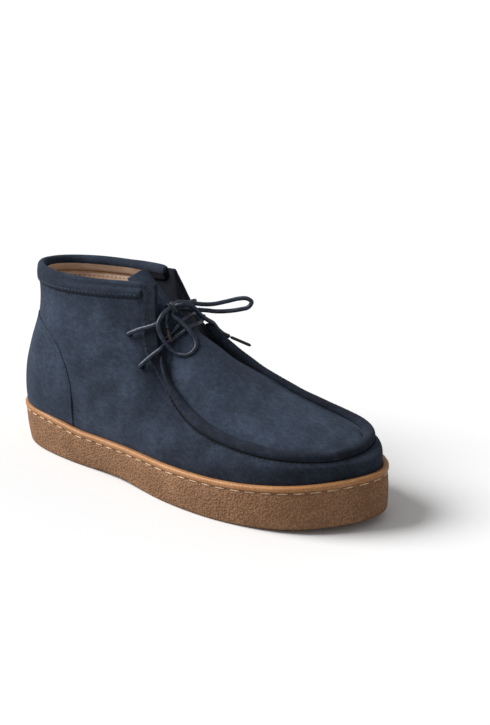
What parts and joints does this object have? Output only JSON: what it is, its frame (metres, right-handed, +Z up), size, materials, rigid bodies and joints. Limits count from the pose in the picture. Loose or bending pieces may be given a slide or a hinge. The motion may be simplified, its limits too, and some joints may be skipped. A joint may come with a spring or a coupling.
{
  "type": "chukka boot",
  "caption": "Low suede ankle boot with an apron toe seam, padded collar, laced throat and a stitched crepe cup sole.",
  "frame": {"origin": "middle of the boot's bounding box on the plan, on the floor under the sole, without the loose lace", "axes": "+X to the toe, +Y to the inner (medial) side of this right boot, +Z up from the floor"},
  "size_m": [0.298, 0.1104, 0.1387],
  "materials": {
    "suede": "napped navy suede",
    "crepe": "matt pebbled crepe rubber with a smooth lighter rim",
    "lining": "smooth tan lining leather",
    "lace": "round waxed navy cord",
    "aglet": "thin brown shrink tip"
  },
  "bodies": {
    "root": {"cupsole": "crepe", "insole": "lining", "upper": "suede", "apron_tongue": "suede", "apron_ridge": "suede", "collar": "suede", "heel_counter": "suede", "lace_bar": "lace", "lace_cross": "lace", "lace_strand_outer": "lace", "lace_strand_inner": "lace", "lace_knot": "lace", "lace_loop_near": "lace", "lace_end_near": "lace", "lace_loop_far": "lace", "lace_end_far": "lace", "aglet_near": "aglet", "aglet_far": "aglet"}
  },
  "joints": []
}
